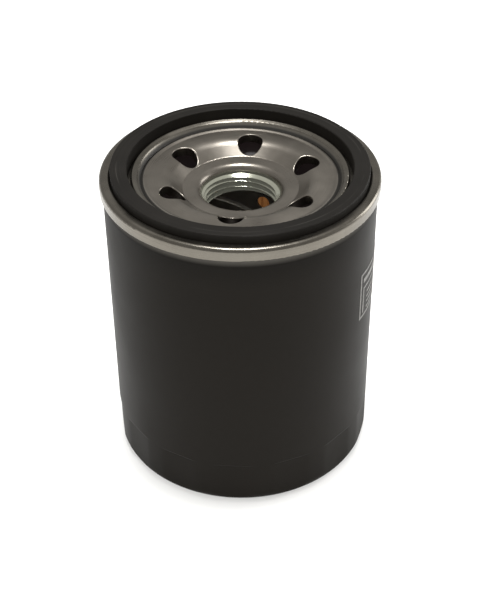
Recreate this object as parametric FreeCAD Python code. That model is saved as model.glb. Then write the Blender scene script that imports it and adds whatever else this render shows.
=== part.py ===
"""Spin-on oil filter, built from its separate pressed, moulded and wound pieces.

The closed end of the can stands on z = 0 and the gasket faces up.
The Z axis is the axis of the can. All sizes are in millimetres.
"""
import FreeCAD
import Part
import math
import os

# ---- driving dimensions: can ----
CAN_RADIUS = 33.5
CAN_WALL = 0.35
CAN_CORNER = 2.8
CAN_FLANGE_HEIGHT = 78.12
CAN_FLANGE_RADIUS = 33.84
CAN_FLANGE_BEND = 0.3
DISH_RADIUS = 14.0
DISH_DEPTH = 1.2
DISH_SLOPE_RUN = 3.0
DISH_BEND = 2.5

# ---- driving dimensions: wrench flats ----
FLAT_COUNT = 14
FLAT_FIRST_ANGLE = -94.5
FLAT_TOP = 13.0
FLAT_DEPTH = 0.34
FLAT_LEDGE_TILT = 35.0

# ---- driving dimensions: lid, seam and gasket ----
SEAM_RADIUS = 34.23
SEAM_BOTTOM = 76.34
LID_WALL = 0.36
LID_TOP = 79.58
GASKET_OUTER = 31.45
GASKET_INNER = 27.45
GASKET_TOP = 81.53
GROOVE_GAP = 0.05
LIP_EDGE_RADIUS = 24.45
LIP_TOP = 79.4
LIP_GAP = 0.85
LIP_SLOPE_RUN = 0.7
LIP_SLOPE_DROP = 0.5
LIP_BEND = 1.0
GROOVE_BEND = 0.28
GROOVE_TOP_BEND = 0.4
SEAM_BEND = 0.85
HEM_BEND = 0.3
HEM_HEIGHT = 1.4
HEM_STEP = 0.8
HEM_CLEARANCE = 0.01
COMPOUND_HEIGHT = 0.5
COMPOUND_INSET = 0.1
GASKET_FOOT_EDGE = 0.35
GASKET_TOP_EDGE = 0.3

# ---- driving dimensions: threaded base plate ----
PLATE_TOP = 77.3
PLATE_WALL = 2.4
PLATE_RADIUS = 33.05
CROWN_TOP = 77.8
CROWN_RADIUS = 22.7
BEAD_TOP = 78.02
BEAD_RADIUS = 23.55
BEAD_FOOT = 24.25
BEAD_BEND = 0.35
BEAD_INNER_DROP = 0.08
PLATE_EDGE = 0.3
STEP_RADIUS = 17.85
STEP_BEND = 4.0
CREASE_RADIUS = 14.2
PLATEAU_TOP = 75.05
HUB_OUTER = 11.1
HUB_BOTTOM = 68.2
HUB_BEND = 2.0
THREAD_TOP = 72.3
INLET_COUNT = 6
INLET_RADIUS = 3.06
INLET_PITCH_RADIUS = 17.7
INLET_FIRST_ANGLE = 82.0
INLET_EDGE = 0.25

# ---- driving dimensions: 3/4-16 thread ----
THREAD_MAJOR = 9.525
THREAD_MINOR = 8.66
THREAD_PITCH = 1.5875
BORE_CLEARANCE = 0.1
THREAD_LEAD_IN = 0.55
CUTTER_OVERLAP = 0.25

# ---- driving dimensions: filter element ----
SHEET = 0.4
CAP_RADIUS = 29.2
CAP_SKIRT = 3.4
ELEMENT_BOTTOM = 14.8
ELEMENT_TOP = 68.8
ADHESIVE = 1.2
TUBE_OUTER = 13.6
MEDIA_OUTER = 28.2
MEDIA_INNER = 14.2
PAPER = 0.5
PLEAT_COUNT = 48
PLEAT_HALF_WIDTH = 0.6
COLLAR_RADIUS = 12.95
COLLAR_DEPTH = 2.8
COLLAR_BEND = 0.55
CAP_BEND = 0.7
CLIP_WALL = 0.35
CLIP_LEG = 4.0
CLIP_GAP = 0.05
CLIP_END_GAP = 1.0
PERFORATION_RADIUS = 1.7
PERFORATION_ROWS = 9
PERFORATIONS_PER_ROW = 5
PERFORATION_FIRST_ANGLE = -8.0

# ---- driving dimensions: anti-drain-back valve ----
VALVE_RUBBER = 1.0
VALVE_LIP_RADIUS = 27.6
VALVE_FOOT_RADIUS = 16.5
VALVE_FOOT_BEND = 2.0
VALVE_LIP_BEND = 3.0
VALVE_LIP_WIDTH = 2.6
VALVE_COLLAR_DEPTH = 2.0
VALVE_COLLAR_RISE = 2.6

# ---- driving dimensions: bypass valve ----
PORT_RADIUS = 6.0
SEAT_RADIUS = 12.6
SEAT_WALL = 0.8
SEAT_BEAD = 0.6
SEAT_BEAD_TOP = 0.9
SEAT_BEAD_FOOT = 1.3
SEAL_THICKNESS = 1.0
POPPET_RADIUS = 8.2
POPPET_WALL = 0.8
STEM_RADIUS = 2.0
STEM_CLEARANCE = 0.08
STEM_LENGTH = 13.5
CAGE_TOP = 28.4
CAGE_WALL = 0.7
CAGE_RADIUS = 9.3
CAGE_LEG_WIDTH = 4.0
CAGE_LEG_COUNT = 3
BYPASS_COIL_RADIUS = 5.0
BYPASS_WIRE = 0.9
BYPASS_TURNS = 5.5

# ---- driving dimensions: element spring ----
SPRING_WIRE = 1.8
SPRING_BASE_RADIUS = 22.5
SPRING_TOP_RADIUS = 13.2
SPRING_TURNS = 3.5
SPRING_CUP_RADIUS = 17.0
SPRING_CUP_COLLAR = 11.0
SPRING_CUP_DEPTH = 2.4
SPRING_CUP_BEND = 0.6
WIRE_CLEARANCE = 0.02

# ---- how finely the coils and the thread are divided ----
WIRE_SIDES = 8
STEPS_PER_TURN = 20
THREAD_STEPS = 36

AXIS = FreeCAD.Vector(0, 0, 1)
ORIGIN = FreeCAD.Vector(0, 0, 0)


# ---- helpers ----
def point(radius, height):
    """A point of a section in the XZ plane."""
    return FreeCAD.Vector(radius, 0, height)


def spin(edges):
    """Turn a closed section in the XZ plane about the axis into a solid."""
    face = Part.Face(Part.Wire(edges))
    solid = face.revolve(ORIGIN, AXIS, 360)
    if solid.Volume < 0:
        solid.reverse()
    return solid


def outline(corners):
    """Edges of a closed section; each corner is (radius, height, bend radius)."""
    edges = []
    starts = []
    ends = []
    arcs = []
    count = len(corners)
    for i in range(count):
        here = point(corners[i][0], corners[i][1])
        bend = corners[i][2]
        before = point(corners[i - 1][0], corners[i - 1][1])
        after = point(corners[(i + 1) % count][0], corners[(i + 1) % count][1])
        arc = corner_arc(before, here, after, bend)
        starts.append(arc[0])
        ends.append(arc[2])
        arcs.append(arc)
    for i in range(count):
        if corners[i][2] > 0:
            edges.append(Part.Arc(*arcs[i]).toShape())
        following = starts[(i + 1) % count]
        if ends[i].distanceToPoint(following) > 1e-6:
            edges.append(Part.LineSegment(ends[i], following).toShape())
    return edges


def corner_arc(before, here, after, bend):
    """Start, middle and end of the arc that rounds one corner."""
    if bend <= 0:
        return (here, here, here)
    to_before = (before - here).normalize()
    to_after = (after - here).normalize()
    half = to_before.getAngle(to_after) / 2.0
    reach = bend / math.tan(half)
    middle_direction = (to_before + to_after).normalize()
    centre = here + middle_direction * (bend / math.sin(half))
    start = here + to_before * reach
    end = here + to_after * reach
    middle = centre - middle_direction * bend
    return (start, middle, end)


def side_of_sheet(path, offset):
    """Corners of one face of a bent sheet, offset to the left of its middle line."""
    corners = []
    last = len(path) - 1
    for i in range(last + 1):
        here = point(path[i][0], path[i][1])
        into = None
        out = None
        if i > 0:
            into = (here - point(path[i - 1][0], path[i - 1][1])).normalize()
        if i < last:
            out = (point(path[i + 1][0], path[i + 1][1]) - here).normalize()
        into = into or out
        out = out or into
        normal_in = FreeCAD.Vector(-into.z, 0, into.x)
        normal_out = FreeCAD.Vector(-out.z, 0, out.x)
        mitre = (normal_in + normal_out).normalize()
        stretch = offset / mitre.dot(normal_in)
        moved = here + mitre * stretch
        turn = into.x * out.z - into.z * out.x
        bend = 0.0
        if path[i][2] > 0:
            bend = path[i][2] - offset * math.copysign(1, turn)
        corners.append((moved.x, moved.z, bend))
    return corners


def pressed_sheet(path, wall):
    """A pressed round sheet: its middle line (radius, height, bend) given a wall."""
    left = side_of_sheet(path, wall / 2.0)
    right = side_of_sheet(path, -wall / 2.0)
    return spin(outline(left + right[::-1]))


def ring(inner, outer, bottom, top):
    """A plain ring of square section."""
    return spin(outline([(inner, bottom, 0), (outer, bottom, 0), (outer, top, 0), (inner, top, 0)]))


def turned(shape, angle):
    """A copy of a shape turned about the axis, in degrees."""
    copy = shape.copy()
    copy.rotate(ORIGIN, AXIS, angle)
    return copy


def wire_section(centre, angle, wire):
    """Eight-sided section of a coil's wire, standing across the winding direction."""
    outwards = FreeCAD.Vector(math.cos(angle), math.sin(angle), 0)
    corners = []
    for i in range(WIRE_SIDES + 1):
        turn = 2 * math.pi * i / WIRE_SIDES
        across = outwards * (wire / 2.0 * math.cos(turn))
        corners.append(centre + across + AXIS * (wire / 2.0 * math.sin(turn)))
    return Part.makePolygon(corners)


def coil(start_radius, end_radius, bottom, top, turns, wire):
    """A wire wound from bottom to top, its end radii and heights at the wire's middle."""
    steps = round(turns * STEPS_PER_TURN)
    sections = []
    for i in range(steps + 1):
        share = i / steps
        angle = 2 * math.pi * turns * share
        radius = start_radius + (end_radius - start_radius) * share
        height = bottom + (top - bottom) * share
        centre = FreeCAD.Vector(radius * math.cos(angle), radius * math.sin(angle), height)
        sections.append(wire_section(centre, angle, wire))
    return Part.makeLoft(sections, True, True)


# ---- can ----
def flat_cutters(inset):
    """What the wrench flats take away, for the outside (0) or inside (wall) of the can."""
    tilt = math.radians(FLAT_LEDGE_TILT)
    ledge = FLAT_TOP - FLAT_DEPTH / math.tan(tilt) + inset * math.tan(tilt / 2.0)
    face = CAN_RADIUS - FLAT_DEPTH - inset
    beyond = 3.0
    corners = [
        FreeCAD.Vector(face, -10, -beyond),
        FreeCAD.Vector(face + beyond, -10, -beyond),
        FreeCAD.Vector(face + beyond, -10, ledge + beyond / math.tan(tilt)),
        FreeCAD.Vector(face, -10, ledge),
    ]
    block = Part.Face(Part.makePolygon(corners + corners[:1])).extrude(FreeCAD.Vector(0, 20, 0))
    pitch = 360.0 / FLAT_COUNT
    return [turned(block, FLAT_FIRST_ANGLE + i * pitch) for i in range(FLAT_COUNT)]


def can_body(inset, top):
    """The can's outside (inset 0) or inside (inset one wall) as a filled body."""
    wall_radius = CAN_RADIUS - inset
    corners = [
        (0, DISH_DEPTH + inset, 0),
        (DISH_RADIUS, DISH_DEPTH + inset, DISH_BEND - inset),
        (DISH_RADIUS + DISH_SLOPE_RUN, inset, DISH_BEND + inset),
        (wall_radius, inset, CAN_CORNER - inset),
        (wall_radius, top, 0),
        (0, top, 0),
    ]
    return spin(outline(corners)).cut(flat_cutters(inset))


def can():
    """Deep-drawn can with wrench flats at its closed end and a small flange at its mouth."""
    bend_start = CAN_FLANGE_HEIGHT - 1.0
    shell = can_body(0, bend_start).cut(can_body(CAN_WALL, bend_start + 1.0))
    middle = CAN_RADIUS - CAN_WALL / 2.0
    flange = pressed_sheet([
        (middle, bend_start, 0),
        (middle, CAN_FLANGE_HEIGHT, CAN_FLANGE_BEND),
        (CAN_FLANGE_RADIUS, CAN_FLANGE_HEIGHT, 0),
    ], CAN_WALL)
    return shell.fuse(flange).removeSplitter()


# ---- lid, seam and gasket ----
def gasket_retainer():
    """Thin plated lid: inner lip, gasket groove, rounded crown and the folded seam."""
    half = LID_WALL / 2.0
    floor = PLATE_TOP + half
    groove_in = GASKET_INNER - LIP_GAP - half
    groove_out = GASKET_OUTER + 2 * GROOVE_GAP + half
    crown = LID_TOP - half
    skirt = SEAM_RADIUS - half
    path = [
        (LIP_EDGE_RADIUS, floor, 0),
        (LIP_EDGE_RADIUS + LIP_SLOPE_RUN, LIP_TOP - half - LIP_SLOPE_DROP, LIP_BEND),
        (groove_in, LIP_TOP - half, GROOVE_BEND),
        (groove_in, floor, GROOVE_BEND),
        (groove_out, floor, GROOVE_BEND),
        (groove_out, crown, GROOVE_TOP_BEND),
        (skirt, crown, SEAM_BEND),
        (skirt, SEAM_BOTTOM + HEM_STEP / 2.0, 0),
    ]
    hem = spin(outline([
        (CAN_RADIUS + HEM_CLEARANCE, SEAM_BOTTOM, HEM_BEND),
        (SEAM_RADIUS, SEAM_BOTTOM, HEM_BEND),
        (SEAM_RADIUS, SEAM_BOTTOM + HEM_STEP, 0),
        (SEAM_RADIUS - LID_WALL, SEAM_BOTTOM + HEM_HEIGHT, 0),
        (CAN_RADIUS + HEM_CLEARANCE, SEAM_BOTTOM + HEM_HEIGHT, 0),
    ]))
    return pressed_sheet(path, LID_WALL).fuse(hem).removeSplitter()


def seam_compound():
    """Sealing compound that lies in the fold between can flange and lid."""
    bottom = CAN_FLANGE_HEIGHT + CAN_WALL / 2.0
    inner = CAN_RADIUS - COMPOUND_INSET
    return ring(inner, CAN_FLANGE_RADIUS - COMPOUND_INSET, bottom, bottom + COMPOUND_HEIGHT)


def gasket():
    """Square-section rubber ring that stands proud of its groove."""
    floor = PLATE_TOP + LID_WALL
    return spin(outline([
        (GASKET_INNER, floor, GASKET_FOOT_EDGE),
        (GASKET_OUTER, floor, GASKET_FOOT_EDGE),
        (GASKET_OUTER, GASKET_TOP, GASKET_TOP_EDGE),
        (GASKET_INNER, GASKET_TOP, GASKET_TOP_EDGE),
    ]))


# ---- threaded base plate ----
def thread_cutter():
    """The helical groove of the internal thread, lofted through sections along its turns."""
    half_mouth = THREAD_PITCH * 3 / 8.0
    half_root = THREAD_PITCH / 16.0
    flank = (half_mouth - half_root) / (THREAD_MAJOR - THREAD_MINOR)
    half_wide = half_mouth + CUTTER_OVERLAP * flank
    start = HUB_BOTTOM - THREAD_PITCH
    turns = math.ceil((THREAD_TOP - start) / THREAD_PITCH) + 1
    sections = []
    for i in range(turns * THREAD_STEPS + 1):
        middle = start + THREAD_PITCH * i / THREAD_STEPS
        section = Part.makePolygon([
            point(THREAD_MINOR - CUTTER_OVERLAP, middle - half_wide),
            point(THREAD_MAJOR, middle - half_root),
            point(THREAD_MAJOR, middle + half_root),
            point(THREAD_MINOR - CUTTER_OVERLAP, middle + half_wide),
            point(THREAD_MINOR - CUTTER_OVERLAP, middle - half_wide),
        ])
        sections.append(turned(section, 360.0 * i / THREAD_STEPS))
    return Part.makeLoft(sections, True, True)


def inlet_holes():
    """The six round inlets, each with the rolled edge that punching leaves."""
    low = PLATEAU_TOP - 2 * PLATE_WALL
    hole = Part.makeCylinder(INLET_RADIUS, 4 * PLATE_WALL, point(INLET_PITCH_RADIUS, low), AXIS)
    pitch = 360.0 / INLET_COUNT
    return [turned(hole, INLET_FIRST_ANGLE + i * pitch) for i in range(INLET_COUNT)]


def is_upper_rim(edge):
    """True for the edge where an inlet meets the plate's upper face."""
    middle = edge.valueAt((edge.FirstParameter + edge.LastParameter) / 2.0)
    if edge.BoundBox.ZMin < PLATEAU_TOP - 0.1 or edge.BoundBox.ZLength > CROWN_TOP - PLATEAU_TOP:
        return False
    distances = []
    for i in range(INLET_COUNT):
        angle = math.radians(INLET_FIRST_ANGLE + i * 360.0 / INLET_COUNT)
        across = middle.x - INLET_PITCH_RADIUS * math.cos(angle)
        along = middle.y - INLET_PITCH_RADIUS * math.sin(angle)
        distances.append(abs(math.hypot(across, along) - INLET_RADIUS))
    return min(distances) < 0.01


def base_plate():
    """Thick pressed plate: crowned annulus, inlets, recess and drawn threaded hub."""
    bore = THREAD_MAJOR + BORE_CLEARANCE
    under = PLATEAU_TOP - PLATE_WALL
    body = spin(outline([
        (PLATE_RADIUS, PLATE_TOP, PLATE_EDGE),
        (BEAD_FOOT, PLATE_TOP, 0.2),
        (BEAD_RADIUS, BEAD_TOP, BEAD_BEND),
        (CROWN_RADIUS, CROWN_TOP - BEAD_INNER_DROP, 0.8),
        (STEP_RADIUS, CROWN_TOP, STEP_BEND),
        (CREASE_RADIUS, PLATEAU_TOP, 0.25),
        (bore, PLATEAU_TOP - 0.1, HUB_BEND),
        (bore, THREAD_TOP + THREAD_LEAD_IN, 0),
        (THREAD_MINOR, THREAD_TOP, 0),
        (THREAD_MINOR, HUB_BOTTOM, 0),
        (HUB_OUTER, HUB_BOTTOM, 0.4),
        (HUB_OUTER, under, 1.0),
        (CREASE_RADIUS + 1.0, under, 1.2),
        (STEP_RADIUS + 0.8, CROWN_TOP - PLATE_WALL, 2.0),
        (CROWN_RADIUS, CROWN_TOP - PLATE_WALL, 0.8),
        (BEAD_FOOT, PLATE_TOP - PLATE_WALL, 0.4),
        (PLATE_RADIUS, PLATE_TOP - PLATE_WALL, PLATE_EDGE),
    ]))
    body = body.cut(inlet_holes())
    rims = [edge for edge in body.Edges if is_upper_rim(edge)]
    body = body.makeFillet(INLET_EDGE, rims)
    return body.cut(thread_cutter())


# ---- anti-drain-back valve ----
def anti_drain_valve():
    """Rubber ring: a foot on the element, a collar on the hub and a lip under the inlets."""
    half = VALVE_RUBBER / 2.0
    foot = ELEMENT_TOP + half
    lip = PLATE_TOP - PLATE_WALL - half
    clearance = 0.05
    inner = HUB_OUTER + clearance
    outer = COLLAR_RADIUS - SHEET / 2.0 - clearance
    bottom = ELEMENT_TOP - VALVE_COLLAR_DEPTH
    top = ELEMENT_TOP + VALVE_COLLAR_RISE
    skirt = pressed_sheet([
        (inner + half, foot, 0),
        (VALVE_FOOT_RADIUS, foot, VALVE_FOOT_BEND),
        (VALVE_LIP_RADIUS - VALVE_LIP_WIDTH, lip, VALVE_LIP_BEND),
        (VALVE_LIP_RADIUS, lip, 0),
    ], VALVE_RUBBER)
    collar = spin(outline([
        (inner, bottom, 0.3),
        (outer, bottom, 0.3),
        (outer, top, 0.4),
        (inner, top, 0.2),
    ]))
    return skirt.fuse(collar).removeSplitter()


# ---- filter element ----
def upper_end_cap():
    """Pressed cap over the open end, with a collar that drops into the tube."""
    middle = ELEMENT_TOP - SHEET / 2.0
    return pressed_sheet([
        (COLLAR_RADIUS, ELEMENT_TOP - COLLAR_DEPTH, 0),
        (COLLAR_RADIUS, middle, COLLAR_BEND),
        (CAP_RADIUS - SHEET / 2.0, middle, CAP_BEND),
        (CAP_RADIUS - SHEET / 2.0, ELEMENT_TOP - CAP_SKIRT, 0),
    ], SHEET)


def lower_end_cap():
    """Pressed cap over the closed end, open in the middle for the bypass flow."""
    middle = ELEMENT_BOTTOM + SHEET / 2.0
    return pressed_sheet([
        (PORT_RADIUS + 3.0, middle, 0),
        (CAP_RADIUS - SHEET / 2.0, middle, CAP_BEND),
        (CAP_RADIUS - SHEET / 2.0, ELEMENT_BOTTOM + CAP_SKIRT, 0),
    ], SHEET)


def end_adhesive(bottom):
    """Ring of resin that bonds the pleats and the tube to an end cap."""
    return ring(TUBE_OUTER, CAP_RADIUS - SHEET - 0.6, bottom, bottom + ADHESIVE)


def media_span():
    """Lowest and highest height of the paper."""
    return (ELEMENT_BOTTOM + SHEET + ADHESIVE, ELEMENT_TOP - SHEET - ADHESIVE)


def pleat_contour(offset):
    """Closed zigzag line of the pleats, offset outwards from the paper's middle."""
    pitch = 2 * math.pi / PLEAT_COUNT
    tip = PLEAT_HALF_WIDTH + offset
    valley_half = pitch / 2.0
    points = []
    for i in range(PLEAT_COUNT):
        angle = i * pitch
        radial = FreeCAD.Vector(math.cos(angle), math.sin(angle), 0)
        across = FreeCAD.Vector(-math.sin(angle), math.cos(angle), 0)
        outer = MEDIA_OUTER - PAPER / 2.0 + offset
        inner = (MEDIA_INNER + PAPER / 2.0 + offset) / math.cos(valley_half)
        for side in (-1, 1):
            ends = [inner, outer] if side < 0 else [outer, inner]
            for reach in ends:
                points.append(radial * reach + across * (side * tip))
    return points


def pleated_media():
    """Filter paper folded into parallel-sided pleats around the tube."""
    bottom, top = media_span()
    faces = []
    for offset in (PAPER / 2.0, -PAPER / 2.0):
        points = pleat_contour(offset)
        wire = Part.makePolygon(points + points[:1])
        wire.translate(point(0, bottom))
        faces.append(Part.Face(wire))
    ring_face = faces[0].cut(faces[1])
    return ring_face.extrude(FreeCAD.Vector(0, 0, top - bottom)).Solids[0]


def media_seam_clip():
    """Folded steel strip that clamps the two ends of the paper together."""
    bottom, top = media_span()
    half = PLEAT_HALF_WIDTH + PAPER / 2.0 + CLIP_GAP
    start = MEDIA_OUTER + CLIP_GAP - CLIP_LEG
    outer = Part.makeBox(CLIP_LEG + CLIP_WALL, 2 * (half + CLIP_WALL), top - bottom - 2 * CLIP_END_GAP)
    outer.translate(FreeCAD.Vector(start, -half - CLIP_WALL, bottom + CLIP_END_GAP))
    inner = Part.makeBox(CLIP_LEG, 2 * half, top - bottom)
    inner.translate(FreeCAD.Vector(start, -half, bottom))
    return outer.cut(inner)


def centre_tube():
    """Perforated steel tube that carries the paper and collects the clean oil."""
    bottom = ELEMENT_BOTTOM + SHEET
    top = ELEMENT_TOP - SHEET - 0.5
    tube = ring(TUBE_OUTER - SHEET, TUBE_OUTER, bottom, top)
    spacing = (top - bottom) / (PERFORATION_ROWS + 1)
    pitch = 360.0 / PERFORATIONS_PER_ROW
    punch = 4.0
    outwards = FreeCAD.Vector(1, 0, 0)
    holes = []
    for row in range(PERFORATION_ROWS):
        start = point(TUBE_OUTER - punch / 2.0, bottom + (row + 1) * spacing)
        hole = Part.makeCylinder(PERFORATION_RADIUS, punch, start, outwards)
        stagger = pitch / 2.0 * (row % 2)
        for i in range(PERFORATIONS_PER_ROW):
            holes.append(turned(hole, PERFORATION_FIRST_ANGLE + stagger + i * pitch))
    return tube.cut(holes)


# ---- bypass valve ----
def seat_top():
    """Height of the upper face of the bypass seat's flat."""
    return ELEMENT_BOTTOM + SHEET + SEAT_WALL


def seal_bottom():
    """Height at which the seal rests on the seat's bead."""
    return seat_top() + SEAT_BEAD


def bypass_seat():
    """Steel ring on the lower cap with a raised bead around the bypass port."""
    bottom = ELEMENT_BOTTOM + SHEET
    return spin(outline([
        (PORT_RADIUS, bottom, 0),
        (SEAT_RADIUS, bottom, 0),
        (SEAT_RADIUS, seat_top(), 0.2),
        (PORT_RADIUS + SEAT_BEAD_FOOT, seat_top(), 0.2),
        (PORT_RADIUS + SEAT_BEAD_TOP, seal_bottom(), 0.15),
        (PORT_RADIUS, seal_bottom(), 0.15),
    ]))


def bypass_seal():
    """Flat rubber ring bonded under the poppet."""
    return ring(STEM_RADIUS + 1.0, POPPET_RADIUS - 0.1, seal_bottom(), seal_bottom() + SEAL_THICKNESS)


def bypass_poppet():
    """Steel disc with a guide stem; it lifts when the paper is blocked."""
    bottom = seal_bottom() + SEAL_THICKNESS
    stem_top = bottom + POPPET_WALL + STEM_LENGTH
    return spin(outline([
        (0, bottom, 0),
        (POPPET_RADIUS, bottom, 0.2),
        (POPPET_RADIUS, bottom + POPPET_WALL, 0.2),
        (STEM_RADIUS, bottom + POPPET_WALL, 0.4),
        (STEM_RADIUS, stem_top, 0.5),
        (0, stem_top, 0),
    ]))


def bypass_cage():
    """Three-legged bridge that guides the stem and carries the spring's fixed end."""
    foot = seat_top()
    bridge = ring(STEM_RADIUS + STEM_CLEARANCE, CAGE_RADIUS + CAGE_WALL, CAGE_TOP - CAGE_WALL, CAGE_TOP)
    wall = ring(CAGE_RADIUS, CAGE_RADIUS + CAGE_WALL, foot, CAGE_TOP - CAGE_WALL)
    flange = ring(CAGE_RADIUS, SEAT_RADIUS - 0.2, foot, foot + CAGE_WALL)
    legs = []
    for i in range(CAGE_LEG_COUNT):
        slab = Part.makeBox(CAGE_RADIUS + 2, CAGE_LEG_WIDTH, CAGE_TOP - foot)
        slab.translate(FreeCAD.Vector(0, -CAGE_LEG_WIDTH / 2.0, foot))
        legs.append(turned(slab, 90.0 + i * 360.0 / CAGE_LEG_COUNT))
    posts = wall.common(legs[0].fuse(legs[1:]))
    return bridge.fuse([posts, flange]).removeSplitter()


def bypass_spring():
    """Light coil between the cage and the poppet."""
    low = seal_bottom() + SEAL_THICKNESS + POPPET_WALL + BYPASS_WIRE / 2.0 + WIRE_CLEARANCE
    high = CAGE_TOP - CAGE_WALL - BYPASS_WIRE / 2.0 - WIRE_CLEARANCE
    return coil(BYPASS_COIL_RADIUS, BYPASS_COIL_RADIUS, low, high, BYPASS_TURNS, BYPASS_WIRE)


# ---- element spring ----
def spring_cup():
    """Pressed ring that centres the spring on the lower end cap."""
    middle = ELEMENT_BOTTOM - SHEET / 2.0
    return pressed_sheet([
        (SPRING_CUP_COLLAR, middle - SPRING_CUP_DEPTH, 0),
        (SPRING_CUP_COLLAR, middle, SPRING_CUP_BEND),
        (SPRING_CUP_RADIUS, middle, 0),
    ], SHEET)


def element_spring():
    """Tapered coil that holds the element up against the base plate."""
    low = CAN_WALL + SPRING_WIRE / 2.0 + WIRE_CLEARANCE
    high = ELEMENT_BOTTOM - SHEET - SPRING_WIRE / 2.0 - WIRE_CLEARANCE
    return coil(SPRING_BASE_RADIUS, SPRING_TOP_RADIUS, low, high, SPRING_TURNS, SPRING_WIRE)


def upper_adhesive():
    """Resin under the upper end cap."""
    return end_adhesive(ELEMENT_TOP - SHEET - ADHESIVE)


def lower_adhesive():
    """Resin above the lower end cap."""
    return end_adhesive(ELEMENT_BOTTOM + SHEET)


PIECES = [
    can,
    gasket_retainer,
    seam_compound,
    gasket,
    base_plate,
    anti_drain_valve,
    upper_end_cap,
    lower_end_cap,
    upper_adhesive,
    lower_adhesive,
    pleated_media,
    media_seam_clip,
    centre_tube,
    bypass_seat,
    bypass_seal,
    bypass_poppet,
    bypass_cage,
    bypass_spring,
    spring_cup,
    element_spring,
]

os.makedirs("parts", exist_ok=True)
for piece in PIECES:
    shape = piece()
    shape.exportStep("parts/" + piece.__name__ + ".step")
    box = shape.BoundBox
    print(
        f"{piece.__name__:18s} solids {len(shape.Solids)} valid {shape.isValid()} "
        f"volume {shape.Volume:9.1f} z {box.ZMin:6.2f} to {box.ZMax:6.2f} reach {box.XMax:6.2f}"
    )
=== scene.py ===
# %% [markdown]
# # A spin-on oil filter
# This lesson dresses a finished design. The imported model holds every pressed, moulded
# and wound piece at its real size, and the pieces that only need a finish keep their
# meshes. The can and the two springs are made again here with softer and rounder shapes,
# on places read from the model, and a seam in the tube and a printed frame are added.
# Lengths are in metres, and the can's closed end is on z = 0.

# %% Load the frame
import math
import bpy
from mathutils import Matrix, Vector


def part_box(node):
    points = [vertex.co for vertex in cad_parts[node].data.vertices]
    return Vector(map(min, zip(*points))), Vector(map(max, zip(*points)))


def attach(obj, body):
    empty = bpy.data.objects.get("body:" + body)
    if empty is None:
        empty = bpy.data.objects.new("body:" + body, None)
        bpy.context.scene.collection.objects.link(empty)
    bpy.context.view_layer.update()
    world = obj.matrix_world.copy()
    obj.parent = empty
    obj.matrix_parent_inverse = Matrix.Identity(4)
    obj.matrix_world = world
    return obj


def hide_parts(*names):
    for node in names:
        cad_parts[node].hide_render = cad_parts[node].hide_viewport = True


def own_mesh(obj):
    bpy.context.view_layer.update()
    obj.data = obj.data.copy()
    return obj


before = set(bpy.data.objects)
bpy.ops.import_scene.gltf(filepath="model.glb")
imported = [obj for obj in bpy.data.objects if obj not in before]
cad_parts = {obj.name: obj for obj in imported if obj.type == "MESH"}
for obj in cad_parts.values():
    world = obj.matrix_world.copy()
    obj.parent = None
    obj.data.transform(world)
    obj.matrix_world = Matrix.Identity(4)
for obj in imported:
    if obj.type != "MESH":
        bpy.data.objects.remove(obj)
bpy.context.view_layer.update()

MM = 0.001
scene = bpy.context.scene
print("pieces loaded:", len(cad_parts))

# %% [markdown]
# ## The view
# The filter is looked at from above its rim, so that the gasket, the base plate and the
# threaded hub all show. A long lens keeps the can's sides almost parallel. The camera
# first looks down at the can's axis, and small turns then frame it as wanted.

# %% Camera
CAMERA_PLACE = Vector((0.0, -269.19, 242.10)) * MM
LOOK_DOWN = 41.97
SMALL_TURNS = (("Y", -2.53), ("X", -5.07), ("Z", -0.88))
LENS = 77.42
SIDE_SHIFT = -0.1


def make_camera():
    """A camera aimed by a downward look followed by three small turns."""
    down = math.radians(LOOK_DOWN)
    ahead = Vector((0, math.cos(down), -math.sin(down)))
    right = Vector((1, 0, 0))
    rows = Matrix((right, ahead.cross(right), ahead))
    for axis, degrees in SMALL_TURNS:
        rows = Matrix.Rotation(math.radians(degrees), 3, axis) @ rows
    facing = Matrix((rows[0], -rows[1], -rows[2])).transposed()
    camera = bpy.data.objects.new("camera", bpy.data.cameras.new("camera"))
    scene.collection.objects.link(camera)
    camera.matrix_world = Matrix.Translation(CAMERA_PLACE) @ facing.to_4x4()
    camera.data.lens = LENS
    camera.data.shift_x = SIDE_SHIFT
    camera.data.clip_start = 0.01
    scene.camera = camera
    return camera


print("camera lens:", make_camera().data.lens)

# %% [markdown]
# ## Light
# Dull plating looks right only when there is something for it to mirror. A small panel
# overhead draws the bright streaks across the far lip, the hub and the thread. Wide
# fill panels in front whiten the floor: they cast no shadow and the plating does not
# mirror them. A panel at the right puts the pale edge on the black can.

# %% Lamps and room
ROOM_COLOR = (1.0, 0.985, 0.95, 1.0)
ROOM_STRENGTH = 0.5
AIM = Vector((0, 0, 0.05))
PANELS = {
    "overhead_panel": {"place": (0.0, 0.04, 0.92), "size": (0.18, 0.18), "power": 8.5, "fill": False},
    "front_left_panel": {"place": (-0.75, -0.80, 0.75), "size": (0.9, 0.7), "power": 9.0, "fill": True},
    "front_right_panel": {"place": (0.80, -0.75, 0.75), "size": (0.9, 0.7), "power": 9.0, "fill": True},
    "right_panel": {"place": (0.75, 0.35, 0.25), "size": (0.4, 0.5), "power": 3.2, "fill": False},
}


def make_panel(name, place, size, power, fill):
    """A rectangular lamp that faces the filter; a fill lamp has no mirror image or shadow."""
    light = bpy.data.lights.new(name, "AREA")
    light.shape = "RECTANGLE"
    light.size, light.size_y = size
    light.energy = power
    light.use_shadow = not fill
    lamp = bpy.data.objects.new(name, light)
    scene.collection.objects.link(lamp)
    lamp.visible_glossy = not fill
    lamp.location = place
    lamp.rotation_mode = "QUATERNION"
    lamp.rotation_quaternion = (AIM - Vector(place)).to_track_quat("-Z", "Y")
    return lamp


for panel_name, panel in PANELS.items():
    make_panel(panel_name, **panel)

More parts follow.
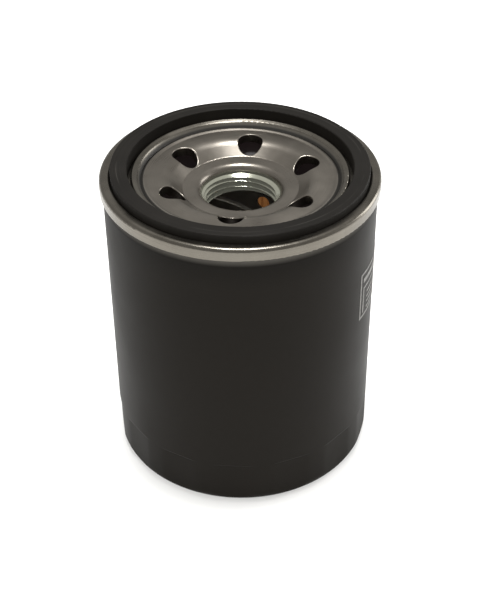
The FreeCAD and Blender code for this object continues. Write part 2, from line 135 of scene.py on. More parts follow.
scene.view_settings.view_transform = "Standard"
room = bpy.data.worlds.new("room")
room.use_nodes = True
room.node_tree.nodes["Background"].inputs["Color"].default_value = ROOM_COLOR
room.node_tree.nodes["Background"].inputs["Strength"].default_value = ROOM_STRENGTH
scene.world = room
print("lamps:", len(PANELS))

# %% [markdown]
# ## Tools for finishes
# Each finish is a small tree of shader nodes. The helpers below add one node and join
# it in one line. Patterns follow the can's axis, so the first thing most finishes need
# is the distance from that axis and the angle around it.

# %% Shader helpers
SHADER_SOCKETS = {
    "color": "Base Color", "metal": "Metallic", "rough": "Roughness", "normal": "Normal",
    "gloss": "Specular IOR Level",
}


class Finish:
    """A material being built, with short ways to add nodes to it."""

    def __init__(self, name):
        self.material = bpy.data.materials.new(name)
        self.material.use_nodes = True
        self.tree = self.material.node_tree
        self.shader = self.tree.nodes["Principled BSDF"]
        self.place = self.add("ShaderNodeTexCoord").outputs["Object"]

    def add(self, kind, **settings):
        node = self.tree.nodes.new(kind)
        for key, value in settings.items():
            setattr(node, key, value)
        return node

    def feed(self, socket, value):
        """Link a socket to an output, or give it a constant."""
        if isinstance(value, bpy.types.NodeSocket):
            self.tree.links.new(value, socket)
        else:
            socket.default_value = value

    def sum(self, operation, *values):
        """The result of one Math node."""
        node = self.add("ShaderNodeMath", operation=operation)
        for socket, value in zip(node.inputs, values):
            self.feed(socket, value)
        return node.outputs[0]

    def noise(self, vector, scale, detail=3.0, roughness=0.5):
        node = self.add("ShaderNodeTexNoise")
        self.feed(node.inputs["Vector"], vector)
        node.inputs["Scale"].default_value = scale
        node.inputs["Detail"].default_value = detail
        node.inputs["Roughness"].default_value = roughness
        return node.outputs["Fac"]

    def ramp(self, value, low, high, to_low=0.0, to_high=1.0):
        """A value's way from low to high, carried over to another range."""
        node = self.add("ShaderNodeMapRange", clamp=True)
        self.feed(node.inputs["Value"], value)
        limits = {"From Min": low, "From Max": high, "To Min": to_low, "To Max": to_high}
        for name, number in limits.items():
            node.inputs[name].default_value = number
        return node.outputs["Result"]

    def mix(self, share, one, other):
        node = self.add("ShaderNodeMix", data_type="RGBA")
        self.feed(node.inputs["Factor"], share)
        self.feed(node.inputs["A"], one)
        self.feed(node.inputs["B"], other)
        return node.outputs["Result"]

    def axes(self, vector):
        """The x, y and z of a vector."""
        split = self.add("ShaderNodeSeparateXYZ")
        self.feed(split.inputs[0], vector)
        return split.outputs

    def round_place(self):
        """Distance from the can's axis, angle around it, and height."""
        x, y, z = self.axes(self.place)
        squares = self.sum("ADD", self.sum("MULTIPLY", x, x), self.sum("MULTIPLY", y, y))
        return self.sum("SQRT", squares), self.sum("ARCTAN2", y, x), z

    def vector(self, x, y, z):
        node = self.add("ShaderNodeCombineXYZ")
        for socket, value in zip(node.inputs, (x, y, z)):
            self.feed(socket, value)
        return node.outputs[0]

    def specks(self, scale, size, share):
        """Sparse small dots: 1 on a dot and 0 elsewhere."""
        cells = self.add("ShaderNodeTexVoronoi")
        self.feed(cells.inputs["Vector"], self.place)
        cells.inputs["Scale"].default_value = scale
        chosen = self.sum("LESS_THAN", cells.outputs["Color"], share)
        dot = self.ramp(cells.outputs["Distance"], size * 0.5, size, 1.0, 0.0)
        return self.sum("MULTIPLY", chosen, dot)

    def bump(self, height, distance, strength=1.0, under=None):
        node = self.add("ShaderNodeBump")
        self.feed(node.inputs["Height"], height)
        node.inputs["Distance"].default_value = distance
        node.inputs["Strength"].default_value = strength
        if under is not None:
            self.feed(node.inputs["Normal"], under)
        return node.outputs["Normal"]

    def set(self, **values):
        """Fill the shader's sockets, by their short names."""
        for key, value in values.items():
            self.feed(self.shader.inputs[SHADER_SOCKETS[key]], value)
        return self.material


def tone(red, green, blue):
    return (red, green, blue, 1.0)


print("shader sockets:", len(SHADER_SOCKETS))

# %% [markdown]
# ## Floor
# The filter stands on a plain pale floor that runs past the edges of the view. It lies
# a hair below the can so that the two faces never share a plane. A hint of unevenness
# in its roughness keeps it from looking blank.

# %% Floor
FLOOR_REACH = 8.0
FLOOR_HEIGHT = -0.03 * MM
FLOOR_TONE = tone(0.93, 0.93, 0.92)


def floor_finish():
    finish = Finish("pale_floor")
    worn = finish.noise(finish.place, 6.0)
    return finish.set(color=FLOOR_TONE, rough=finish.ramp(worn, 0.3, 0.7, 0.6, 0.7), gloss=0.2)


def make_floor():
    mesh = bpy.data.meshes.new("floor")
    r, z = FLOOR_REACH, FLOOR_HEIGHT
    mesh.from_pydata([(-r, -r, z), (r, -r, z), (r, r, z), (-r, r, z)], [], [(0, 1, 2, 3)])
    mesh.materials.append(floor_finish())
    floor = bpy.data.objects.new("floor", mesh)
    scene.collection.objects.link(floor)
    return floor


print("floor width:", make_floor().dimensions.x)

# %% [markdown]
# ## Black paint
# The can is sprayed with a warm black enamel. Spray leaves a faint orange-peel texture
# and the satin coat breaks up slightly where the can was handled. Under the rolled seam
# the black is made deeper as painted shade. Faces that point up are made paler, partly
# for dust and partly as a painted highlight, so the small ledges above the flats show as
# pale lines. A few loose specks stop the black from looking computed.

# %% Paint
DEEP_BLACK = tone(0.0070, 0.0059, 0.0046)
HANDLED_BLACK = tone(0.0096, 0.0082, 0.0066)
PAINTED_SEAM_SHADE = tone(0.0030, 0.0027, 0.0022)
LEDGE_DUST_AND_HIGHLIGHT = tone(0.075, 0.070, 0.062)
PAINT_DUST = tone(0.045, 0.043, 0.040)
SHADE_FROM, SHADE_FULL = 68.0 * MM, 76.0 * MM
CLOUD_SCALE, PEEL_SCALE = 45.0, 1400.0
SPECK_SCALE, SPECK_SIZE = 420.0, 0.09
PEEL_DEPTH = 0.02 * MM


def paint_finish():
    finish = Finish("satin_black_enamel")
    cloud = finish.noise(finish.place, CLOUD_SCALE, 4.0)
    peel = finish.noise(finish.place, PEEL_SCALE, 2.0)
    specks = finish.specks(SPECK_SCALE, SPECK_SIZE, 0.035)
    height = finish.axes(finish.place)["Z"]
    facing_up = finish.axes(finish.place.node.outputs["Normal"])["Z"]
    color = finish.mix(cloud, DEEP_BLACK, HANDLED_BLACK)
    # painted shade: the black darkens towards the top, under the rolled seam
    color = finish.mix(finish.ramp(height, SHADE_FROM, SHADE_FULL, 0.0, 0.6), color, PAINTED_SEAM_SHADE)
    # dust and painted highlight: faces that point up are made paler, which draws the ledges
    color = finish.mix(finish.ramp(facing_up, 0.08, 0.4, 0.0, 0.9), color, LEDGE_DUST_AND_HIGHLIGHT)
    color = finish.mix(specks, color, PAINT_DUST)
    normal = finish.bump(peel, PEEL_DEPTH, 0.35)
    rough = finish.ramp(cloud, 0.3, 0.7, 0.40, 0.50)
    return finish.set(color=color, rough=rough, gloss=0.05, normal=normal)


enamel = paint_finish()
print("finish:", enamel.name)

# %% [markdown]
# ## Dull plating
# The lid and the base plate are zinc-plated sheet. Rolling and pressing leave fine
# lines that run around the axis, so the noise is stretched along the angle and is
# tight across it. Plating also clouds over, which shows as slow changes in tone and
# roughness. A dark, rough and unmetallic ring is painted into the narrow gap between the
# lid and the plate as painted shade. The tapped thread is freshly cut steel, so it is
# smoother than the rest.

# %% Plating
# radii of the painted shade ring in the gap between the lid and the plate
GAP_SHADE_RADII = [radius * MM for radius in (23.45, 23.75, 24.55, 24.95)]
THREAD_EDGE = [radius * MM for radius in (9.55, 9.85)]
GAP_SHADE_TONE = tone(0.012, 0.011, 0.009)
CUT_STEEL = tone(0.36, 0.365, 0.30)
PLATING_DUST = tone(0.50, 0.48, 0.43)
LID_TONE, LID_SHADE = tone(0.19, 0.175, 0.150), tone(0.135, 0.124, 0.106)
PLATE_TONE, PLATE_SHADE = tone(0.26, 0.238, 0.208), tone(0.19, 0.173, 0.15)
LINES_PER_METRE = 6500.0
LINE_DEPTH = 0.01 * MM
LINE_DARKNESS = 0.6


def plating_finish(name, base, shade, smoothest, roughest):
    finish = Finish(name)
    away, angle, height = finish.round_place()
    across = finish.sum("ADD", away, finish.sum("MULTIPLY", height, 0.7))
    run = finish.vector(finish.sum("MULTIPLY", across, LINES_PER_METRE), angle, 0.0)
    lines = finish.noise(run, 1.0, 2.0)
    cloud = finish.noise(finish.place, 70.0, 5.0, 0.6)
    grain = finish.noise(finish.place, 2600.0, 2.0)
    dust = finish.specks(650.0, 0.10, 0.02)
    # painted shade: a dark ring in the gap between the lid and the plate
    start, full, fade, end = GAP_SHADE_RADII
    gap_shade = finish.sum("MULTIPLY", finish.ramp(away, start, full), finish.ramp(away, fade, end, 1.0, 0.0))
    cut = finish.ramp(away, *THREAD_EDGE, 1.0, 0.0)
    streak = tone(*[part * LINE_DARKNESS for part in shade[:3]])
    color = finish.mix(finish.ramp(cloud, 0.32, 0.68), shade, base)
    color = finish.mix(finish.ramp(lines, 0.35, 0.65, 0.0, 0.2), color, streak)
    color = finish.mix(finish.sum("MULTIPLY", dust, 0.5), color, PLATING_DUST)
    color = finish.mix(cut, color, CUT_STEEL)
    color = finish.mix(gap_shade, color, GAP_SHADE_TONE)
    rough = finish.ramp(cloud, 0.3, 0.7, smoothest, roughest)
    rough = finish.sum("ADD", rough, finish.ramp(lines, 0.3, 0.7, -0.04, 0.04))
    rough = finish.sum("SUBTRACT", rough, finish.sum("MULTIPLY", cut, 0.14))
    rough = finish.sum("ADD", rough, finish.sum("MULTIPLY", gap_shade, 0.3))
    normal = finish.bump(lines, LINE_DEPTH, 0.5, finish.bump(grain, LINE_DEPTH, 0.25))
    metal = finish.sum("SUBTRACT", 1.0, finish.sum("MULTIPLY", gap_shade, 0.9))
    metal = finish.sum("SUBTRACT", metal, finish.sum("MULTIPLY", cut, 0.25))
    return finish.set(color=color, metal=metal, rough=rough, normal=normal)


lid_plating = plating_finish("dull_plating_lid", LID_TONE, LID_SHADE, 0.22, 0.34)
plate_plating = plating_finish("dull_plating_plate", PLATE_TONE, PLATE_SHADE, 0.26, 0.38)
print("finishes:", lid_plating.name, plate_plating.name)

# %% [markdown]
# ## Rubber
# The gasket is moulded in matte black rubber. The mould leaves rings so fine that they
# only show as a change in sheen, and one broken line where its halves met, which is
# painted paler as a painted highlight along its ridge. Rubber always holds some dust.
# The valve under the inlets is a smoother, slightly brown rubber.

# %% Rubber
MOULD_LINE = 29.9 * MM
MOULD_LINE_HALF, MOULD_LINE_FADE = 0.04 * MM, 0.12 * MM
MOULD_RIDGE_HIGHLIGHT = tone(0.05, 0.047, 0.042)
RUBBER_DUST = tone(0.22, 0.21, 0.19)
GASKET_DARK, GASKET_LIGHT = tone(0.0056, 0.0048, 0.0038), tone(0.0082, 0.0071, 0.0058)
VALVE_DARK, VALVE_LIGHT = tone(0.010, 0.0075, 0.0075), tone(0.016, 0.011, 0.011)


def rubber_finish(name, dark, light, rough, gloss, dust_share):
    finish = Finish(name)
    away, angle, _ = finish.round_place()
    off_line = finish.sum("ABSOLUTE", finish.sum("SUBTRACT", away, MOULD_LINE))
    broken = finish.ramp(finish.noise(finish.place, 60.0, 2.0), 0.45, 0.6)
    on_line = finish.ramp(off_line, MOULD_LINE_HALF, MOULD_LINE_FADE, 1.0, 0.0)
    mould_ridge_highlight = finish.sum("MULTIPLY", on_line, broken)
    run = finish.vector(finish.sum("MULTIPLY", away, 3000.0), finish.sum("MULTIPLY", angle, 0.6), 0.0)
    rings = finish.noise(run, 1.0, 2.0)
    cloud = finish.noise(finish.place, 90.0, 4.0)
    grain = finish.noise(finish.place, 3200.0, 2.0)
    dust = finish.specks(SPECK_SCALE, SPECK_SIZE, dust_share)
    color = finish.mix(finish.ramp(cloud, 0.3, 0.7), dark, light)
    # painted highlight: the mould line's ridge is painted paler
    color = finish.mix(finish.sum("MULTIPLY", mould_ridge_highlight, 0.5), color, MOULD_RIDGE_HIGHLIGHT)
    color = finish.mix(finish.sum("MULTIPLY", dust, 0.75), color, RUBBER_DUST)
    normal = finish.bump(rings, 0.01 * MM, 0.5, finish.bump(grain, 0.02 * MM, 0.4))
    sheen = finish.ramp(rings, 0.3, 0.7, rough - 0.06, rough + 0.06)
    return finish.set(color=color, rough=sheen, gloss=gloss, normal=normal)


gasket_rubber = rubber_finish("gasket_rubber", GASKET_DARK, GASKET_LIGHT, 0.62, 0.13, 0.03)
valve_rubber = rubber_finish("valve_rubber", VALVE_DARK, VALVE_LIGHT, 0.5, 0.3, 0.02)
print("finishes:", gasket_rubber.name, valve_rubber.name)

# %% [markdown]
# ## Inner finishes
# Little of the inside can be seen, but a look down the hub finds the tube, a seam that
# winds around it and the paper behind its holes. Plain steel, spring wire, resin and
# resin-treated paper each get a short tree of their own.

# %% Steel, wire, resin and paper


def steel_finish(name, base, rough):
    """Plain steel in soft patches, the darker ones smoother."""
    finish = Finish(name)
    cloud = finish.noise(finish.place, 120.0, 4.0)
    grain = finish.noise(finish.place, 1800.0, 2.0)
    patches = finish.ramp(cloud, 0.3, 0.7)
    color = finish.mix(patches, tone(*[part * 0.7 for part in base]), tone(*base))
    sheen = finish.ramp(cloud, 0.3, 0.7, rough, rough + 0.12)
    return finish.set(color=color, metal=1.0, rough=sheen, normal=finish.bump(grain, 0.01 * MM, 0.3))


def paper_finish():
    """Brown fibres with darker patches where the resin soaked in."""
    finish = Finish("treated_paper")
    fibre = finish.noise(finish.place, 2400.0, 4.0, 0.7)
    soaked = finish.ramp(finish.noise(finish.place, 160.0, 3.0), 0.4, 0.7, 0.0, 0.4)
    color = finish.mix(fibre, tone(0.20, 0.08, 0.025), tone(0.30, 0.135, 0.045))
    color = finish.mix(soaked, color, tone(0.20, 0.075, 0.022))
    return finish.set(color=color, rough=0.9, gloss=0.2, normal=finish.bump(fibre, 0.04 * MM, 0.5))


def resin_finish(name, dark, light):
    finish = Finish(name)
    cloud = finish.noise(finish.place, 300.0, 4.0)
    color = finish.mix(cloud, dark, light)
    return finish.set(color=color, rough=0.55, gloss=0.4, normal=finish.bump(cloud, 0.08 * MM, 0.4))


tube_steel = steel_finish("tube_strip_steel", (0.30, 0.29, 0.27), 0.5)
pressed_steel = steel_finish("pressed_steel", (0.36, 0.35, 0.32), 0.35)
wire_steel = steel_finish("oiled_wire", (0.22, 0.21, 0.19), 0.28)
paper = paper_finish()
end_resin = resin_finish("end_resin", tone(0.20, 0.18, 0.15), tone(0.30, 0.27, 0.22))
seam_resin = resin_finish("seam_compound", tone(0.03, 0.03, 0.03), tone(0.05, 0.05, 0.05))
print("inner finishes ready")

# %% [markdown]
# ## Pieces that keep their meshes
# Most pieces of the design are already as smooth and as detailed as they need to be. A
# piece in this table only has its plain material exchanged for one of the finishes.

# %% Give the kept pieces their finish
KEPT = {
    "gasket_retainer": lid_plating,
    "base_plate": plate_plating,
    "gasket": gasket_rubber,
    "anti_drain_valve": valve_rubber,
    "bypass_seal": valve_rubber,
    "seam_compound": seam_resin,
    "centre_tube": tube_steel,
    "pleated_media": paper,
    "upper_adhesive": end_resin,
    "lower_adhesive": end_resin,
    "upper_end_cap": pressed_steel,
    "lower_end_cap": pressed_steel,
    "media_seam_clip": pressed_steel,
    "bypass_seat": pressed_steel,
    "bypass_poppet": pressed_steel,
    "bypass_cage": pressed_steel,
    "spring_cup": pressed_steel,
}
for node_name, material in KEPT.items():
    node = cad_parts[node_name]
    node.data.materials.clear()
    node.data.materials.append(material)
print("kept pieces:", len(KEPT))

# %% [markdown]
# ## The can
# A drawn can has no sharp edges: where a flat is pressed into the wall, the steel
# bends round it. Each point of the wall is pushed in by the depth of its flat, and the
# depth eases to nothing between flats. Upwards the flats run out in small ledges that
# show as short pale lines. The closed end has a shallow dish in its middle.

# %% The can's sizes
CAN_RADIUS = 33.5 * MM
CAN_WALL = 0.35 * MM
CAN_CORNER = 2.8 * MM
CAN_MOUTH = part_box("can")[1].z - 0.4 * MM
DISH_DEPTH = 1.2 * MM
DISH_INNER, DISH_OUTER = 13.0 * MM, 17.5 * MM
FLATS = 14
FLAT_PITCH = 2 * math.pi / FLATS
FLAT_START = math.radians(-94.5)
FLAT_DEPTH = 0.34 * MM
LEDGE_TOP = 13.0 * MM
LEDGE_SLOPE = math.tan(math.radians(35.0))
LEDGE_BOTTOM = LEDGE_TOP - FLAT_DEPTH / LEDGE_SLOPE
print("across the flats:", round(2 * (CAN_RADIUS - FLAT_DEPTH) / MM, 2), "mm")

# %% The pressed wall and the dish
EDGE_EASE = 0.10 * MM
CORNER_EASE = 0.15 * MM


def wall_reach(angle, height, inset):
    """Radius of the pressed wall; the ledge takes the flat back out to the round wall."""
    off_middle = (angle - FLAT_START + FLAT_PITCH / 2) % FLAT_PITCH - FLAT_PITCH / 2
    pressed = CAN_RADIUS - (CAN_RADIUS - FLAT_DEPTH) / math.cos(off_middle)
    pressed -= max(0.0, height - LEDGE_BOTTOM) * LEDGE_SLOPE
    eased = (pressed + math.hypot(pressed, EDGE_EASE)) / 2
    return CAN_RADIUS - inset - eased


def smaller(one, other, ease):
    """The smaller of two radii, rounded where they meet."""
    return (one + other - math.hypot(one - other, ease)) / 2


def dish_height(radius):
    """Height of the closed end, with a soft step at the rim of the dish."""
    share = min(1.0, max(0.0, (DISH_OUTER - radius) / (DISH_OUTER - DISH_INNER)))
    return DISH_DEPTH * share * share * (3 - 2 * share)


print("pressed in at a flat's middle:", round(CAN_RADIUS - wall_reach(FLAT_START, 0.0, 0.0), 5))

# %% [markdown]
# The skin is made of rings, from the middle of the closed end outwards, up the wall to
# the mouth and back down inside. The rings stand close together where the shape turns,
# at the corner and at the ledges, and far apart on the plain wall.

# %% Rings of the can
DISH_RINGS = (4, 8, 12, 13)
FLOOR_RINGS = (22, 26, 29)
LOW_WALL_RINGS = (3, 4, 6, 8, 10, 11, 11.6, 12.0)
HIGH_WALL_RINGS = (18, 26, 36, 46, 56, 66, 74)
CORNER_STEPS = 14
LEDGE_RINGS, LEDGE_RING_START, LEDGE_RING_GAP = 21, 12.2, 0.1
FLATS_FROM, FLATS_BELOW = 30.0 * MM, 14.2 * MM
STEPS_PER_FLAT = 32


def can_profile(inset):
    """Radius and height from the middle of the closed end to the mouth."""
    points = [(radius * MM, dish_height(radius * MM) + inset) for radius in DISH_RINGS]
    points += [(r, dish_height(r) + inset) for r in (DISH_INNER + i * 0.5 * MM for i in range(1, 10))]
    points += [(radius * MM, inset) for radius in FLOOR_RINGS]
    centre, corner = CAN_RADIUS - CAN_CORNER, CAN_CORNER - inset
    for i in range(CORNER_STEPS + 1):
        turn = math.pi / 2 * i / CORNER_STEPS
        points.append((centre + corner * math.sin(turn), CAN_CORNER - corner * math.cos(turn)))
    heights = list(LOW_WALL_RINGS)
    heights += [LEDGE_RING_START + LEDGE_RING_GAP * step for step in range(LEDGE_RINGS)]
    heights += HIGH_WALL_RINGS
    points += [(CAN_RADIUS - inset, height * MM) for height in heights]
    points.append((CAN_RADIUS - inset, CAN_MOUTH))
    return points


def can_ring(radius, height, inset, steps):
    """One ring of the skin, pulled in where it crosses the flats."""
    ring = []
    ease = CORNER_EASE * max(0.0, 1 - height / CAN_CORNER)
    for i in range(steps):
        angle = 2 * math.pi * i / steps
        reach = radius
        if radius > FLATS_FROM and height < FLATS_BELOW:
            reach = smaller(radius, wall_reach(angle, height, inset), ease)
        ring.append((reach * math.cos(angle), reach * math.sin(angle), height))
    return ring


print("rings outside:", len(can_profile(0.0)))

# %% [markdown]
# Every finished piece is added the same way. It gets its finish, joins the body that
# it moves with, and stands in for the plain pieces of the design that it covers.

# %% Adding a finished piece


def add_piece(name, mesh, body, slot, material, *stands_for):
    """A finished piece: named, painted, riding on its body."""
    mesh.materials.clear()
    mesh.materials.append(material)
    piece = bpy.data.objects.new(name, mesh)
    scene.collection.objects.link(piece)
    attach(piece, body)
    if stands_for:
        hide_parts(*stands_for)
    print(name, "faces:", len(mesh.polygons))
    return piece


# %% [markdown]
# The rings are joined by four-cornered faces, a fan of triangles closes each middle,
# and the wall's thickness is the gap between the outer and the inner rings.

# %% Can shell


def can_mesh():
    """The closed skin of the can, outside and inside."""
    steps = FLATS * STEPS_PER_FLAT
    outside = [can_ring(r, z, 0.0, steps) for r, z in can_profile(0.0)]
    inside = [can_ring(r, z, CAN_WALL, steps) for r, z in reversed(can_profile(CAN_WALL))]
    points = [(0, 0, DISH_DEPTH)] + sum(outside + inside, []) + [(0, 0, DISH_DEPTH + CAN_WALL)]
    rings = len(outside) + len(inside)
    last = len(points) - 1
    faces = []
    for i in range(steps):
        j = (i + 1) % steps
        faces.append((0, 1 + j, 1 + i))
        for k in range(rings - 1):
            a = 1 + k * steps
            b = a + steps
            faces.append((a + i, a + j, b + j, b + i))
        a = 1 + (rings - 1) * steps
        faces.append((last, a + i, a + j))
    mesh = bpy.data.meshes.new("can_shell")
    mesh.from_pydata(points, [], faces)
    mesh.shade_smooth()
    mesh.update()
    return mesh


add_piece("can_shell", can_mesh(), "housing", "black_paint", enamel, "can")

# %% [markdown]
# ## Recipes for wound and wrapped pieces
# A coil, a seam that climbs a tube and a printed frame that wraps a can all follow a
# simple rule, so each is a small Geometry Nodes tree with named inputs. The tree runs
# once, its mesh is kept, and the tree is taken off again.

# %% Recipe helpers


class Recipe:
    """A Geometry Nodes tree being built, with named inputs."""

    def __init__(self, name, **inputs):
        self.tree = bpy.data.node_groups.new(name, "GeometryNodeTree")
        self.sockets = {}
        self.values = inputs
        for label, value in inputs.items():
            kind = "NodeSocketMaterial" if isinstance(value, bpy.types.Material) else "NodeSocketFloat"
            socket = self.tree.interface.new_socket(label, in_out="INPUT", socket_type=kind)
            self.sockets[label] = socket.identifier
        self.tree.interface.new_socket("Mesh", in_out="OUTPUT", socket_type="NodeSocketGeometry")
        self.start = self.add("NodeGroupInput")
        self.end = self.add("NodeGroupOutput")

    def add(self, kind, links=None, **settings):
        """Add a node; links maps its input names to outputs or constants."""
        node = self.tree.nodes.new(kind)
        for key, value in settings.items():
            setattr(node, key, value)
        for key, value in (links or {}).items():
            socket = node.inputs[key]
            if isinstance(value, bpy.types.NodeSocket):
                self.tree.links.new(value, socket)
            else:
                socket.default_value = value
        return node

    def given(self, label):
        """The tree's own input of that name."""
        return self.start.outputs[label]

    def sum(self, operation, *values):
        """The result of one Math node."""
        return self.add("ShaderNodeMath", dict(enumerate(values)), operation=operation).outputs[0]

    def close(self, geometry):
        """Realize, paint and hand out the result."""
        real = self.add("GeometryNodeRealizeInstances", {"Geometry": geometry}).outputs[0]
        links = {"Geometry": real, "Material": self.given("Material")}
        painted = self.add("GeometryNodeSetMaterial", links)
        self.tree.links.new(painted.outputs[0], self.end.inputs[0])

    def bake(self, name):
        """Run the tree on an empty mesh and keep what it makes."""
        holder = bpy.data.objects.new(name, bpy.data.meshes.new(name))
        scene.collection.objects.link(holder)
        modifier = holder.modifiers.new("recipe", "NODES")
        modifier.node_group = self.tree
        for label, value in self.values.items():
            modifier[self.sockets[label]] = value
        graph = bpy.context.evaluated_depsgraph_get()
        mesh = bpy.data.meshes.new_from_object(holder.evaluated_get(graph), depsgraph=graph)
        holder.modifiers.clear()
        bpy.data.objects.remove(holder)
        mesh.name = name
        mesh.shade_smooth()
        return mesh


# %% [markdown]
# ## Springs
# The element spring is a cone of oiled wire and the bypass spring is a small plain
# coil. A spiral line carries a round section.

# %% Coils
ELEMENT_SPRING = {"start_radius": 22.5 * MM, "end_radius": 13.2 * MM, "turns": 3.5, "wire": 1.8 * MM}
BYPASS_SPRING = {"start_radius": 5.0 * MM, "end_radius": 5.0 * MM, "turns": 5.5, "wire": 0.9 * MM}
STEPS_PER_TURN = 40
WIRE_SIDES = 14


def coil_mesh(name, bottom, top, start_radius, end_radius, turns, wire):
    """A round wire wound from bottom to top, with flat cut ends."""
    recipe = Recipe(
        name + "_recipe", Start=start_radius, End=end_radius, Bottom=bottom + wire / 2,
        Rise=top - bottom - wire, Turns=turns, Wire=wire / 2, Material=wire_steel,
    )
    line = recipe.add("GeometryNodeCurveSpiral", {
        "Resolution": STEPS_PER_TURN, "Rotations": recipe.given("Turns"),
        "Start Radius": recipe.given("Start"), "End Radius": recipe.given("End"),
        "Height": recipe.given("Rise"),
    })
    section = recipe.add("GeometryNodeCurvePrimitiveCircle", {
        "Resolution": WIRE_SIDES, "Radius": recipe.given("Wire"),
    })
    wound = recipe.add("GeometryNodeCurveToMesh", {
        "Curve": line.outputs[0], "Profile Curve": section.outputs[0], "Fill Caps": True,
    })
    lift = recipe.add("ShaderNodeCombineXYZ", {"Z": recipe.given("Bottom")})
    placed = recipe.add("GeometryNodeTransform", {
        "Geometry": wound.outputs[0], "Translation": lift.outputs[0],
    })
    recipe.close(placed.outputs[0])
    return recipe.bake(name)


low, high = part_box("element_spring")
element_mesh = coil_mesh("element_coil", low.z, high.z, **ELEMENT_SPRING)
element_coil = add_piece(
    "element_coil", element_mesh, "housing", "spring_steel", wire_steel, "element_spring",
)
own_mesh(element_coil)

low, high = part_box("bypass_spring")
bypass_mesh = coil_mesh("bypass_coil", low.z, high.z, **BYPASS_SPRING)
bypass_coil = add_piece(
    "bypass_coil", bypass_mesh, "element", "spring_steel", wire_steel, "bypass_spring",
)
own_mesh(bypass_coil)

# %% [markdown]
# ## The tube's seam
# The centre tube is wound from a steel strip, so a raised seam climbs its inner wall
# like a stripe on a barber's pole. It is what catches light when one looks down the
# hub. A flat section follows a spiral that stays on the wall.

# %% Spiral seam
TUBE_INNER = 13.2 * MM
SEAM_CLIMB = 47.4 * MM
SEAM_WIDTH = 1.1 * MM
SEAM_HEIGHT = 0.16 * MM
SEAM_SUNK = 0.35
SEAM_STEPS = 160
SEAM_MARK_ANGLE, SEAM_MARK_HEIGHT = math.radians(105.6), 62.9 * MM


def seam_mesh():
    """A flat strip that winds up the tube's wall and passes through the marked point."""
    low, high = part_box("centre_tube")
    bottom, top = low.z + SEAM_WIDTH, high.z - SEAM_WIDTH
    first = SEAM_MARK_ANGLE - 2 * math.pi * (SEAM_MARK_HEIGHT - bottom) / SEAM_CLIMB
    recipe = Recipe(
        "tube_seam_recipe", Radius=TUBE_INNER - SEAM_HEIGHT * SEAM_SUNK, Bottom=bottom,
        Rise=top - bottom, Turns=(top - bottom) / SEAM_CLIMB, First=first, Width=SEAM_WIDTH,
        Height=SEAM_HEIGHT, Material=seam_steel,
    )
    line = recipe.add("GeometryNodeCurvePrimitiveLine", {"End": (0, 0, 1)})
    line = recipe.add("GeometryNodeResampleCurve", {"Curve": line.outputs[0], "Count": SEAM_STEPS})
    share = recipe.add("GeometryNodeSplineParameter").outputs["Factor"]
    turned = recipe.sum("MULTIPLY", recipe.sum("MULTIPLY", share, recipe.given("Turns")), 2 * math.pi)
    angle = recipe.sum("ADD", turned, recipe.given("First"))
    place = recipe.add("ShaderNodeCombineXYZ", {
        "X": recipe.sum("MULTIPLY", recipe.sum("COSINE", angle), recipe.given("Radius")),
        "Y": recipe.sum("MULTIPLY", recipe.sum("SINE", angle), recipe.given("Radius")),
        "Z": recipe.sum("ADD", recipe.sum("MULTIPLY", share, recipe.given("Rise")), recipe.given("Bottom")),
    })
    links = {"Geometry": line.outputs[0], "Position": place.outputs[0]}
    spiral = recipe.add("GeometryNodeSetPosition", links)
    upright = recipe.add("GeometryNodeSetCurveNormal", {"Curve": spiral.outputs[0]}, mode="Z_UP")
    section = recipe.add("GeometryNodeCurvePrimitiveQuadrilateral", {
        "Width": recipe.given("Height"), "Height": recipe.given("Width"),
    })
    strip = recipe.add("GeometryNodeCurveToMesh", {
        "Curve": upright.outputs[0], "Profile Curve": section.outputs[0], "Fill Caps": True,
    })
    recipe.close(strip.outputs[0])
    return recipe.bake("tube_seam")


seam_steel = steel_finish("bright_strip_edge", (0.62, 0.61, 0.58), 0.45)
add_piece("tube_seam", seam_mesh(), "element", "tube_steel", seam_steel)

# %% [markdown]
# ## A printed frame
# Makers print a data panel on the side of the can. Here it is only a frame with
# dividers and plain bars, so it names nobody. The recipe lays flat blocks out on a
# sheet first and then rolls the sheet onto the can, which keeps every edge square.

# %% Printed frame
PANEL_LEFT = math.radians(-30.5)
PANEL_BOTTOM, PANEL_TOP = 46.1 * MM, 59.9 * MM
PANEL_WIDTH = 38.0 * MM
INK_LINE = 0.6 * MM
INK_DEPTH = 0.06 * MM
INK_BASE = 0.02 * MM
INNER_INSET = 1.7 * MM
INNER_TOP = 55.2 * MM
HEAD_BOTTOM, HEAD_TOP = 56.6 * MM, 57.9 * MM
HEAD_BARS = ((INNER_INSET, 18.0 * MM), (20.0 * MM, 34.0 * MM))
ROW_LENGTHS = (28.0, 22.0, 30.0, 16.0)
ROW_LEFT, FIRST_ROW, ROW_PITCH, ROW_HEIGHT = 4.2, 52.3, 1.6, 0.55


def ink_blocks():
    """Left, right, bottom and top of every printed block, in arc length and height."""
    low, high = PANEL_BOTTOM + INK_LINE, PANEL_TOP - INK_LINE
    inner_right = PANEL_WIDTH - INNER_INSET
    inner_low, inner_high = PANEL_BOTTOM + 2 * INK_LINE, INNER_TOP - INK_LINE
    blocks = [
        (0, PANEL_WIDTH, PANEL_BOTTOM, low),
        (0, PANEL_WIDTH, high, PANEL_TOP),
        (0, INK_LINE, low, high),
        (PANEL_WIDTH - INK_LINE, PANEL_WIDTH, low, high),
        (INNER_INSET, inner_right, inner_high, INNER_TOP),
        (INNER_INSET, INNER_INSET + INK_LINE, inner_low, inner_high),
        (inner_right - INK_LINE, inner_right, inner_low, inner_high),
    ]
    blocks += [(left, right, HEAD_BOTTOM, HEAD_TOP) for left, right in HEAD_BARS]
    for row, length in enumerate(ROW_LENGTHS):
        foot = (FIRST_ROW - ROW_PITCH * row) * MM
        blocks.append((ROW_LEFT * MM, (ROW_LEFT + length) * MM, foot, foot + ROW_HEIGHT * MM))
    return blocks


print("printed blocks:", len(ink_blocks()))

# %% Rolling the print onto the can
INK_STEP = 0.6 * MM


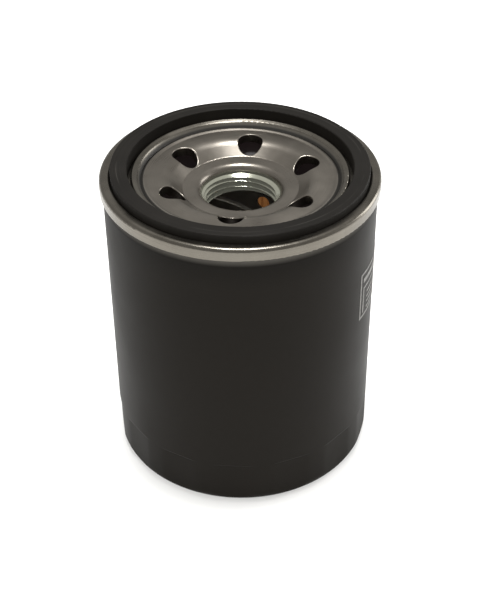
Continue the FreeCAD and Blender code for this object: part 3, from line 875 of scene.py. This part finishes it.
def wrap_on_can(recipe, sheet):
    """Roll a flat sheet, x along and z up, onto the can's wall."""
    spot = recipe.add("GeometryNodeInputPosition").outputs[0]
    place = recipe.add("ShaderNodeSeparateXYZ", {0: spot})
    turn = recipe.sum("DIVIDE", place.outputs["X"], recipe.given("Radius"))
    angle = recipe.sum("ADD", turn, recipe.given("Left"))
    reach = recipe.sum("ADD", place.outputs["Y"], recipe.given("Radius"))
    rolled = recipe.add("ShaderNodeCombineXYZ", {
        "X": recipe.sum("MULTIPLY", recipe.sum("COSINE", angle), reach),
        "Y": recipe.sum("MULTIPLY", recipe.sum("SINE", angle), reach),
        "Z": place.outputs["Z"],
    })
    links = {"Geometry": sheet, "Position": rolled.outputs[0]}
    return recipe.add("GeometryNodeSetPosition", links).outputs[0]


def panel_mesh():
    """All blocks, a little sunk into the wall so that no face lies on it."""
    recipe = Recipe(
        "printed_frame_recipe", Radius=CAN_RADIUS, Left=PANEL_LEFT, Depth=INK_DEPTH,
        Base=INK_BASE, Material=ink,
    )
    gather = recipe.add("GeometryNodeJoinGeometry")
    depth, base = recipe.given("Depth"), recipe.given("Base")
    thickness = recipe.sum("ADD", depth, base)
    middle = recipe.sum("DIVIDE", recipe.sum("SUBTRACT", depth, base), 2.0)
    for left, right, low, high in ink_blocks():
        size = recipe.add("ShaderNodeCombineXYZ", {"X": right - left, "Y": thickness, "Z": high - low})
        steps = max(2, round((right - left) / INK_STEP))
        block = recipe.add("GeometryNodeMeshCube", {"Size": size.outputs[0], "Vertices X": steps})
        centre = {"X": (left + right) / 2, "Y": middle, "Z": (low + high) / 2}
        spot = recipe.add("ShaderNodeCombineXYZ", centre).outputs[0]
        put = recipe.add("GeometryNodeTransform", {"Geometry": block.outputs[0], "Translation": spot})
        recipe.tree.links.new(put.outputs[0], gather.inputs[0])
    recipe.close(wrap_on_can(recipe, gather.outputs[0]))
    mesh = recipe.bake("printed_frame")
    mesh.shade_flat()
    return mesh


def ink_finish():
    """Grey print that is worn in patches."""
    finish = Finish("pale_print")
    worn = finish.noise(finish.place, 900.0, 3.0, 0.6)
    color = finish.mix(finish.ramp(worn, 0.35, 0.65), tone(0.10, 0.098, 0.092), tone(0.17, 0.165, 0.155))
    return finish.set(color=color, rough=0.5, gloss=0.2)


ink = ink_finish()
add_piece("printed_frame", panel_mesh(), "housing", "black_paint", ink)
